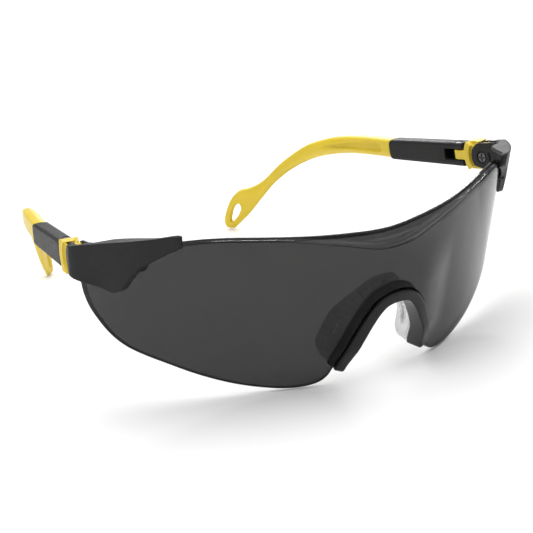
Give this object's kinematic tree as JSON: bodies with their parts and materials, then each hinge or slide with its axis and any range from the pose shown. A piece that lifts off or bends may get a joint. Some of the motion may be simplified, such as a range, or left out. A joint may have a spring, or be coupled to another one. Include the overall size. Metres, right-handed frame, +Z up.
{
  "type": "safety glasses",
  "caption": "Wrap-around safety glasses with a smoked shield lens, ribbed nose pad, tilting and folding temples that adjust in length, and lanyard loops.",
  "frame": {"origin": "middle of the footprint, on the surface that the lens lobes and the two lanyard loops stand on", "axes": "+X across the width towards the right temple, +Y from the lens towards the ears, +Z up"},
  "size_m": [0.1502, 0.1652, 0.0508],
  "materials": {
    "smoked_lens": "polished smoked polycarbonate",
    "black_plastic": "satin moulded",
    "clear_rubber": "translucent elastomer, ribbed",
    "yellow_plastic": "semi-gloss moulded",
    "steel": "turned",
    "brass": "turned"
  },
  "bodies": {
    "front": {"lens": "smoked_lens", "nose_bridge": "black_plastic", "nose_pad": "clear_rubber", "lug_right": "black_plastic", "lug_left": "black_plastic", "lens_pin_right": "black_plastic", "lens_pin_left": "black_plastic", "tilt_screw_right": "steel", "tilt_screw_left": "steel", "tilt_nut_right": "brass", "tilt_nut_left": "brass"},
    "link_right": {"tilt_link_right": "yellow_plastic", "hinge_pin_right": "steel"},
    "link_left": {"tilt_link_left": "yellow_plastic", "hinge_pin_left": "steel"},
    "temple_right": {"sleeve_right": "black_plastic", "detent_spring_right": "steel"},
    "temple_left": {"sleeve_left": "black_plastic", "detent_spring_left": "steel"},
    "tip_right": {"temple_tip_right": "yellow_plastic"},
    "tip_left": {"temple_tip_left": "yellow_plastic"}
  },
  "joints": [
    {"name": "tilt_right", "type": "hinge", "parent": "front", "child": "link_right", "pos_m": [0.0719, -0.03019, 0.04122], "axis": [0.9839, 0.1768, 0.0266], "range_deg": [-5, 15]},
    {"name": "tilt_left", "type": "hinge", "parent": "front", "child": "link_left", "pos_m": [-0.0719, -0.03019, 0.04122], "axis": [0.9839, -0.1768, -0.0266], "range_deg": [-5, 15]},
    {"name": "fold_right", "type": "hinge", "parent": "link_right", "child": "temple_right", "pos_m": [0.06918, -0.01885, 0.0401], "axis": [-0.0426, 0.0875, 0.9952], "range_deg": [0, 84]},
    {"name": "fold_left", "type": "hinge", "parent": "link_left", "child": "temple_left", "pos_m": [-0.06918, -0.01885, 0.0401], "axis": [-0.0426, -0.0875, -0.9952], "range_deg": [0, 74]},
    {"name": "slide_right", "type": "slide", "parent": "temple_right", "child": "tip_right", "axis": [-0.1736, 0.9803, -0.0937], "range_m": [0, 0.012]},
    {"name": "slide_left", "type": "slide", "parent": "temple_left", "child": "tip_left", "axis": [0.1736, 0.9803, -0.0937], "range_m": [0, 0.012]}
  ]
}
